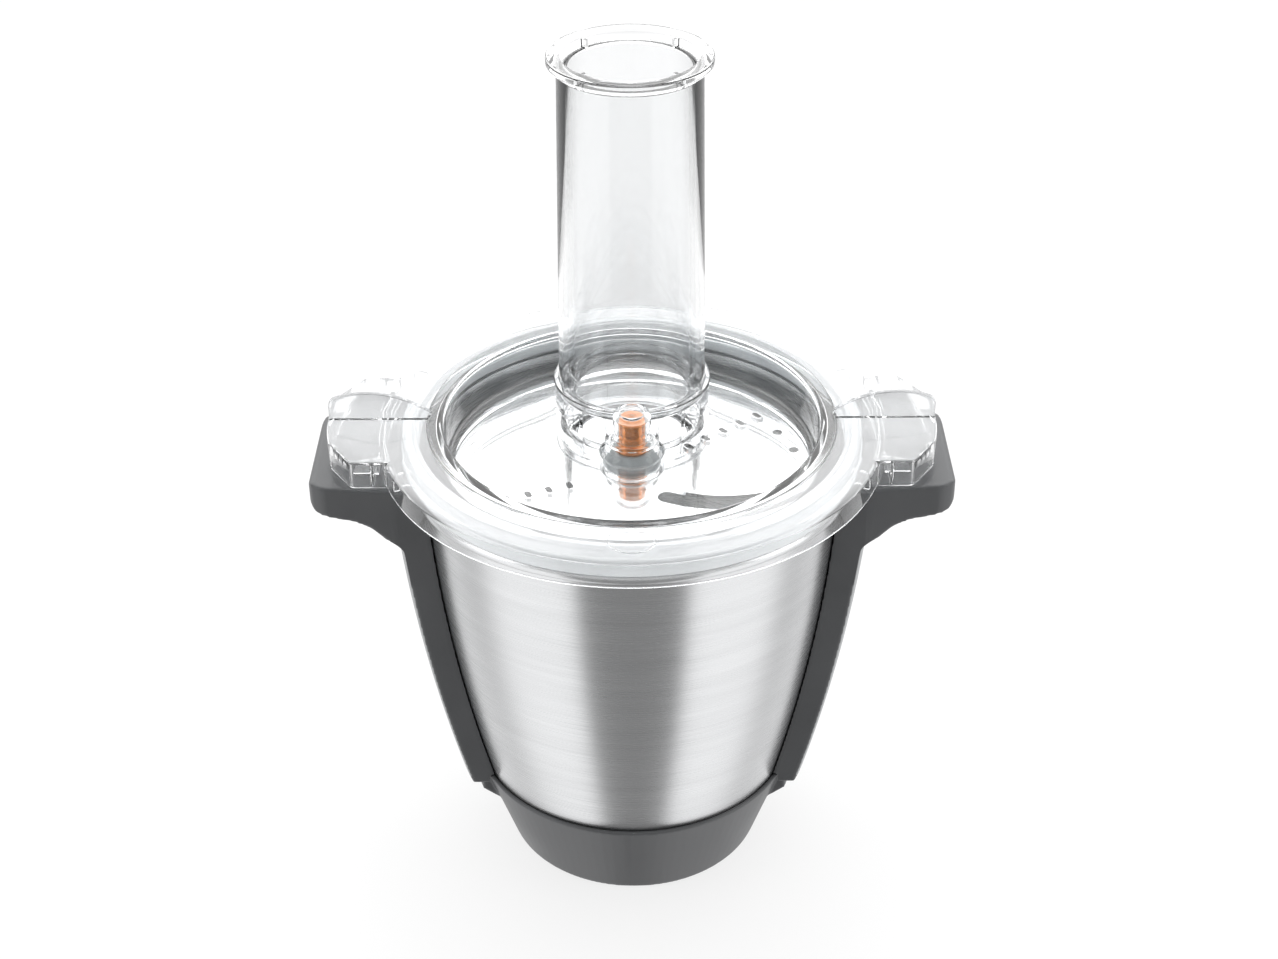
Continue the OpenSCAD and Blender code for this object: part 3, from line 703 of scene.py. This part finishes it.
@dataclass
class ViewCamera:
    """Camera in front of the bowl, looking down on the lid."""

    lens: float = 60.85
    distance: float = 1.0278
    tilt: float = 32.695
    aim_height: float = 0.202
    sidestep: float = 0.0032
    roll: float = -0.25

    def build(self) -> None:
        """Makes the camera and sets it as the scene's own."""
        data = bpy.data.cameras.new("view_camera")
        data.lens = self.lens
        data.sensor_width = 36.0
        data.clip_start = 0.05
        camera = bpy.data.objects.new("view_camera", data)
        tilt, roll = math.radians(self.tilt), math.radians(self.roll)
        ahead = Vector((0, math.cos(tilt), -math.sin(tilt)))
        over = Vector((0, math.sin(tilt), math.cos(tilt)))
        right = Vector((1, 0, 0))
        x = right * math.cos(roll) + over * math.sin(roll)
        y = over * math.cos(roll) - right * math.sin(roll)
        place = Vector((self.sidestep, 0, self.aim_height)) - ahead * self.distance
        turn = Matrix((x, y, -ahead)).transposed().to_4x4()
        camera.matrix_world = Matrix.Translation(place) @ turn
        bpy.context.scene.collection.objects.link(camera)
        bpy.context.scene.camera = camera


# ---------------------------------------------------------------- the object


@dataclass
class SteelBowl:
    """The brushed bowl with its rolled rim."""

    floor: float = 44.0
    sheet: float = 1.2
    corner: float = 7.0
    curve: float = 910.0
    crest: float = 260.0
    axis: float = -807.5
    rim: float = 221.8
    roll: float = 2.2
    roll_radius: float = 104.8

    def wall(self, inset: float, z: float) -> float:
        """Radius of the wall at a height."""
        return self.axis + math.sqrt((self.curve - inset) ** 2 - (self.crest - z) ** 2)

    def outline(self) -> list[Point]:
        """Section of the steel from the middle of the floor to the rim and back."""
        turn = self.floor + self.corner
        hub = self.wall(0.0, turn) - self.corner
        line: list[Point] = [(12.0, self.floor)]
        for k in range(9):
            a = math.pi / 2 * (k / 8 - 1)
            line.append((hub + self.corner * math.cos(a), turn + self.corner * math.sin(a)))
        neck = self.rim - self.roll - self.sheet / 2
        for k in range(1, 41):
            z = turn + (neck - 1.2 - turn) * k / 40
            line.append((self.wall(0.0, z), z))
        line.append((self.wall(0.0, neck) + 0.5, neck - 0.2))
        line.append((self.roll_radius - 1.6, neck))
        for k in range(17):
            a = math.radians(-160 + 320 * k / 16)
            line.append((self.roll_radius + self.roll * math.cos(a), self.rim - self.roll + self.roll * math.sin(a)))
        line.append((self.wall(self.sheet, neck) + 1.5, neck + self.sheet))
        line.append((self.wall(self.sheet, neck) + 0.4, neck + self.sheet - 0.5))
        for k in range(41):
            z = neck - 0.6 + (turn - neck + 0.6) * k / 40
            line.append((self.wall(self.sheet, z), z))
        inner = self.corner - self.sheet
        for k in range(1, 9):
            a = -math.pi / 2 * k / 8
            line.append((hub + inner * math.cos(a), turn + inner * math.sin(a)))
        line.append((12.0, self.floor + self.sheet))
        return line

    def build(self, finishes: Finishes) -> None:
        """Builds and dresses the bowl."""
        bowl = lathe("steel_bowl", self.outline(), 256)
        smooth(bowl, 40)
        place_piece(bowl, "bowl", "brushed_steel", finishes.brushed, "bowl_shell")


@dataclass
class Mouldings:
    """Dark base cup, handles and leg covers."""

    grain: float = 0.8
    passes: int = 3
    bend_height: float = 17.0
    block_depth: float = 21.0
    flare: float = 30.0
    lean: float = 0.104
    cover_corner: Vector = field(default_factory=lambda: Vector(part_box("right_leg_cover")[1]))

    def round_bend(self, point: Vector) -> Vector:
        """Eases the bend above a leg cover back to the leg's round outer face.

        Args:
            point: A point of the handle.

        Returns:
            The point, pulled in where it stands out past that face.
        """
        rise = point.z - self.cover_corner.z
        if not -self.block_depth * MM < rise < self.bend_height * MM:
            return point
        limit = self.cover_corner.x + rise * self.lean
        limit += self.flare * MM * (max(rise, 0.0) / (self.bend_height * MM)) ** 2
        if point.xy.length <= limit:
            return point
        return Vector((math.copysign(math.sqrt(limit**2 - point.y**2), point.x), point.y, point.z))

    def build(self, finishes: Finishes) -> None:
        """Builds the soft-edged mouldings from their CAD solids."""
        for node, finish, slot in (
            ("left_handle", finishes.dark, "dark_plastic"),
            ("right_handle", finishes.dark, "dark_plastic"),
            ("left_leg_cover", finishes.grey, "grey_plastic"),
            ("right_leg_cover", finishes.grey, "grey_plastic"),
            ("base_cup", finishes.dark, "dark_plastic"),
        ):
            reshape = self.round_bend if node.endswith("handle") else None
            piece = moulded_copy(node, "soft_" + node, self.grain, self.passes, reshape)
            place_piece(piece, "bowl", slot, finish, node)


@dataclass
class Lid:
    """The clear lid with its well, dome, collar, wings and fins."""

    base: float = 222.3
    top: float = 236.5
    wall: float = 2.4
    radius: float = 118.0
    well: float = 86.0
    floor: float = 218.3
    tube_place: float = 48.5
    collar_top: float = 231.9
    collar_bore: float = 35.9
    collar_outer: float = 37.4
    chute: float = 33.3
    tube_seat: float = 226.9
    wing_reach: float = 142.0
    wing_half: float = 38.5
    wing_shoulder: float = 128.0
    fin_top: float = 250.5
    fin_curve: float = 48.0
    fin_place: float = 123.5
    fin_wall: float = 2.8

    def section(self) -> list[Point]:
        """Section of the round part, from the dome over the skirt and back below."""
        under = self.top - self.wall
        below = self.floor - self.wall
        return soften([
            (0, 240.1, 0), (9, 240.1, 3), (9, 226.3, 0.8), (12.8, 226.3, 1.6), (12.8, 220.9, 1.5),
            (15.4, self.floor, 1.2), (self.well, self.floor, 1.6), (88, self.top + 1.6, 1.4),
            (95, self.top + 1.6, 1.4), (95.2, self.top, 0.6), (self.radius, self.top, 3),
            (self.radius, self.base, 0.7), (self.radius - self.wall, self.base, 0.7),
            (self.radius - self.wall, under, 1.4), (106.75, under, 0.3), (106.75, 226.9, 0.4),
            (104.95, 226.9, 0.4), (104.95, under, 0.1), (102.45, under, 0.1), (102.45, 226.9, 0.4),
            (100.65, 226.9, 0.4), (100.65, under, 0.4), (90.9, under, 1.0), (88, 218.6, 1.0),
            (86.4, below, 0.8), (13.3, below, 0.4), (11, 220.3, 0.6), (11, 223.7, 0.6),
            (7.1, 224.9, 0.6), (7.1, 236.1, 0.8), (5.7, 237.5, 0.6), (0, 237.5, 0),
        ], closed=False)

    def wing_outline(self, inset: float) -> list[Point]:
        """Outline of a wing seen from above.

        Args:
            inset: How far the outline lies inside the wing's outer face.

        Returns:
            The points in order, with rounded corners.
        """
        half = self.wing_half - inset
        end = self.wing_reach - inset
        shoulder = self.wing_shoulder - inset * 0.4
        bulge: list[Corner] = []
        for k in range(9):
            y = -(half - 17) + (half - 17) * 2 * k / 8
            bulge.append((self.wing_reach - 90 + math.sqrt((90 - inset) ** 2 - y * y), y, 5 if k in (0, 8) else 0))
        corners = [(100.0, -half, 0.0), (shoulder, -half, 3.0), *bulge, (shoulder, half, 3.0), (100.0, half, 0.0)]
        return soften([(min(x, end), y, r) for x, y, r in corners], closed=True, steps=4)

    def build_wing(self) -> bpy.types.Object:
        """Builds the hollow wing, its ribs and its fin at the +X end."""
        wing = slab("wing", self.wing_outline(0.0), self.base, self.top)
        ease_edges(wing, 0.9, 50)
        hollow = slab("hollow", self.wing_outline(self.wall), self.base - 3, self.top - self.wall)
        combine(wing, hollow, Cut.REMOVE)
        rib = slab("rib", box_outline(117.6, -self.wing_half + 1, 119.0, self.wing_half - 1), self.base + 0.6, self.top - 1)
        combine(wing, rib, Cut.JOIN)
        for side in Side:
            near = side.value * (self.wing_half - 1)
            far = side.value * (self.wing_half - 13)
            web = slab("web", box_outline(115, min(near, far), 126.5, max(near, far)), 228.8, 230.0)
            combine(wing, web, Cut.JOIN)
        inside = lathe("inside", [(0, self.base - 2), (self.radius - self.wall + 0.3, self.base - 2),
                                  (self.radius - self.wall + 0.3, self.top - self.wall), (0, self.top - self.wall)], 192)
        combine(wing, inside, Cut.REMOVE)
        combine(wing, self.build_fin(), Cut.JOIN)
        return wing

    def build_fin(self) -> bpy.types.Object:
        """Builds the upright grip fin at the +X end."""
        low = self.top - 1.0
        far = self.wing_reach - 0.6
        mid = self.fin_top - self.fin_curve
        line: list[Corner] = [(94.0, low, 0.0), (far, low, 0.0)]
        reach = 0.93
        count = 26
        first = math.asin((far - self.fin_place) / self.fin_curve)
        last = -math.asin((self.fin_place - 93.4) / self.fin_curve)
        for k in range(count + 1):
            a = first + (last - first) * k / count
            r = 0.0
            x = self.fin_place + self.fin_curve * math.sin(a)
            z = mid + self.fin_curve * math.cos(a)
            line.append((x, z, 5.0 if k == 0 else r))
        line = [(x, z, r if i != 2 else 6.0 * reach) for i, (x, z, r) in enumerate(line)]
        if line[3][0] > far - 7:
            line = line[:3] + [p for p in line[3:] if p[0] < far - 7]
        fin = slab("fin", soften(line, closed=True), -self.fin_wall / 2, self.fin_wall / 2)
        stood_up(fin)
        ease_edges(fin, 0.7, 50)
        return fin

    def build(self, finishes: Finishes) -> None:
        """Builds and dresses the lid."""
        lid = lathe("clear_lid", self.section(), 256)
        for angle in (0, 180):
            combine(lid, turned(self.build_wing(), angle), Cut.JOIN)
        for angle in (24, 156, 204, 336):
            web = slab("web", box_outline(108.5, -0.8, 116.5, 0.8), 227.1, self.top - self.wall + 0.5)
            combine(lid, turned(web, angle), Cut.JOIN)
        collar = lathe("collar", soften([
            (0, self.floor - 1, 0), (self.collar_outer, self.floor - 1, 0), (self.collar_outer, self.collar_top - 2.4, 0.4),
            (self.collar_outer + 0.7, self.collar_top - 1.6, 0.5), (self.collar_outer + 0.7, self.collar_top, 0.9),
            (0, self.collar_top, 0)], closed=False), 160, (0, self.tube_place))
        combine(lid, collar, Cut.JOIN)
        combine(lid, lathe("mark", soften([(9.8, 236, 0), (11, 236, 0), (11, 237, 0.3), (9.8, 237, 0.3)], closed=True), 96, (0, -101)), Cut.JOIN)
        bore = lathe("bore", soften([
            (0, 210, 0), (self.chute, 210, 0), (self.chute, self.tube_seat, 0), (self.collar_bore, self.tube_seat, 0.3),
            (self.collar_bore, 245, 0), (0, 245, 0)], closed=False), 160, (0, self.tube_place))
        combine(lid, bore, Cut.REMOVE)
        cavity = lathe("cavity", soften([
            (0, 214, 0), (13.3, 214, 0), (13.3, 215.9, 0.4), (11, 220.3, 0.6), (11, 223.7, 0.6), (7.1, 224.9, 0.6),
            (7.1, 236.1, 0.8), (5.7, 237.5, 0.6), (0, 237.5, 0)], closed=False), 128)
        combine(lid, cavity, Cut.REMOVE)
        for k in range(16):
            rib = slab("rib", box_outline(self.chute - 1.1, -0.6, self.chute + 0.6, 0.6), 216.2, self.tube_seat - 0.2)
            combine(lid, turned(rib, k * 22.5, (0, self.tube_place)), Cut.JOIN)
        smooth(lid, 28)
        place_piece(lid, "lid", "clear_plastic", finishes.clear, "lid_cover")
        dress_faces(lid, finishes.hazed, self.upper_side)

    def upper_side(self, middle: Vector, normal: Vector) -> bool:
        """Whether a face is on the upper side of the rim or a wing."""
        return normal.z > 0.35 and middle.z > self.top - 3 and middle.xy.length > 96


@dataclass
class Seal:
    """Silicone ring between rim and lid."""

    inner: float = 100.4
    outer: float = 107.0
    low: float = 221.85
    high: float = 226.8
    lip_top: float = 234.0

    def build(self, finishes: Finishes) -> None:
        """Builds and dresses the seal."""
        mid = (self.inner + self.outer) / 2
        ring = lathe("seal_ring", soften([
            (self.inner, self.low, 0.6), (self.outer, self.low, 0.6), (self.outer, self.high, 0.8),
            (mid + 1.15, self.high, 0.3), (mid + 1.15, self.lip_top, 0.4), (mid - 1.15, self.lip_top, 0.4),
            (mid - 1.15, self.high, 0.3), (self.inner, self.high, 0.8)], closed=True), 192)
        smooth(ring, 40)
        place_piece(ring, "lid_carrier", "silicone", finishes.silicone, "lid_seal")


@dataclass
class FeedTube:
    """The clear tube that stands in the lid's collar."""

    place: float = 48.5
    low: float = 226.95
    high: float = 389.95
    foot: float = 35.6
    head: float = 33.4
    foot_bore: float = 33.2
    bore: float = 31.0

    def build(self, finishes: Finishes) -> None:
        """Builds and dresses the tube."""
        tube = lathe("clear_tube", soften([
            (self.foot_bore, self.low, 0.5), (self.foot, self.low, 0.6), (self.foot - 0.05, self.low + 6, 0),
            (self.head, self.high, 0.6), (self.bore, self.high, 0.5)], closed=True), 160, (0, self.place))
        smooth(tube, 40)
        place_piece(tube, "tube", "clear_plastic", finishes.clear, "feed_tube")


@dataclass
class Pusher:
    """The clear hollow pusher with its flange."""

    place: float = 48.5
    low: float = 225.45
    high: float = 396.5
    radius: float = 30.6
    inner: float = 28.2
    mouth: float = 31.0
    mouth_depth: float = 5.0
    flange: float = 38.0
    seat: float = 390.0

    def build(self, finishes: Finishes) -> None:
        """Builds and dresses the pusher."""
        ledge = self.high - self.mouth_depth
        cup = lathe("clear_pusher", soften([
            (0, self.low + 2.4, 0), (self.inner, self.low + 2.4, 2.0), (self.inner, ledge, 0.7),
            (self.mouth, ledge, 0.5), (self.mouth, self.high, 0.9), (self.flange, self.high, 1.0),
            (self.flange, self.seat + 3.4, 0.8), (34.2, self.seat, 0.6), (self.radius, self.seat, 0.4),
            (self.radius, self.low, 1.6), (0, self.low, 0)], closed=False), 160, (0, self.place))
        for angle in (45, 135, 225, 315):
            rib = slab("rib", box_outline(self.inner - 0.4, -0.8, self.mouth + 0.5, 0.8), ledge - 0.5, self.high - 0.9)
            combine(cup, turned(rib, angle, (0, self.place)), Cut.JOIN)
        smooth(cup, 30)
        place_piece(cup, "pusher", "clear_plastic", finishes.clear, "food_pusher")


@dataclass
class ShaftTip:
    """The bronze tip with its dimple, groove and foot flange."""

    radius: float = 6.3
    foot_radius: float = 7.4
    foot: float = 2.2
    groove: float = 0.7
    stub: float = 3.0

    def build(self, finishes: Finishes) -> None:
        """Builds and dresses the tip."""
        low, high = (corner[2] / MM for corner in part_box("shaft_tip"))
        seat = low + self.stub
        neck = high - 6.5
        tip = lathe("bronze_tip", soften([
            (0, high - 1.1, 0), (1.4, high - 1.0, 0.4), (2.3, high, 0.3), (self.radius, high, 1.5),
            (self.radius, neck, 0.3), (self.radius - self.groove, neck - 0.5, 0.2),
            (self.radius - self.groove, neck - 1.5, 0.2), (self.radius, neck - 2.0, 0.3),
            (self.radius, seat + self.foot, 0.5), (self.foot_radius, seat + self.foot, 0.5),
            (self.foot_radius, seat, 0.3), (self.stub, seat, 0.2), (self.stub, low, 0.3), (0, low, 0)],
            closed=False), 96)
        smooth(tip, 35)
        place_piece(tip, "drive", "bronze", finishes.bronze, "shaft_tip")


@dataclass
class CarriedParts:
    """CAD nodes whose shape stays and that only get their finish."""

    finish_of: dict[str, str] = field(default_factory=lambda: {
        "base_plate": "dark", "left_upper_screw": "zinc", "left_lower_screw": "zinc", "right_upper_screw": "zinc",
        "right_lower_screw": "zinc", "front_base_screw": "zinc", "left_base_screw": "zinc",
        "right_base_screw": "zinc", "heater_plate": "alloy", "heating_element": "ground",
        "contact_block": "black", "left_contact_pin": "brass", "middle_contact_pin": "brass",
        "right_contact_pin": "brass", "heat_sensor": "ground", "bearing_housing": "alloy",
        "housing_nut": "ground", "lower_bearing": "ground", "upper_bearing": "ground",
        "shaft_seal": "rubber", "drive_shaft": "ground", "drive_coupling": "black", "shaft_clip": "ground",
        "drive_sleeve": "grey", "disc_hub": "hub", "cutting_disc": "mirror", "slicing_blade": "mirror",
    })

    def build(self, finishes: Finishes) -> None:
        """Dresses the nodes."""
        for node, finish in self.finish_of.items():
            dress_node(node, getattr(finishes, finish))


def main() -> None:
    """Builds the studio and the object in order."""
    logging.basicConfig(level=logging.INFO, format="%(message)s")
    studio = Studio()
    studio.build_colour()
    studio.build_world()
    studio.build_lamps()
    studio.build_floor()
    ViewCamera().build()
    finishes = Finishes()
    SteelBowl().build(finishes)
    Mouldings().build(finishes)
    Seal().build(finishes)
    Lid().build(finishes)
    FeedTube().build(finishes)
    Pusher().build(finishes)
    ShaftTip().build(finishes)
    CarriedParts().build(finishes)


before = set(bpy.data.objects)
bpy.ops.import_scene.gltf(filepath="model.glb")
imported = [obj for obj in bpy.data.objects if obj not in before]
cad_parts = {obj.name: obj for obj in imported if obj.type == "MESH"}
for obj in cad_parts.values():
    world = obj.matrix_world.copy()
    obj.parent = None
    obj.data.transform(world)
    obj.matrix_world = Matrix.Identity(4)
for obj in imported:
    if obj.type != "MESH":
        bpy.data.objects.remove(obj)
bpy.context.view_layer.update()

if __name__ == "__main__":
    main()
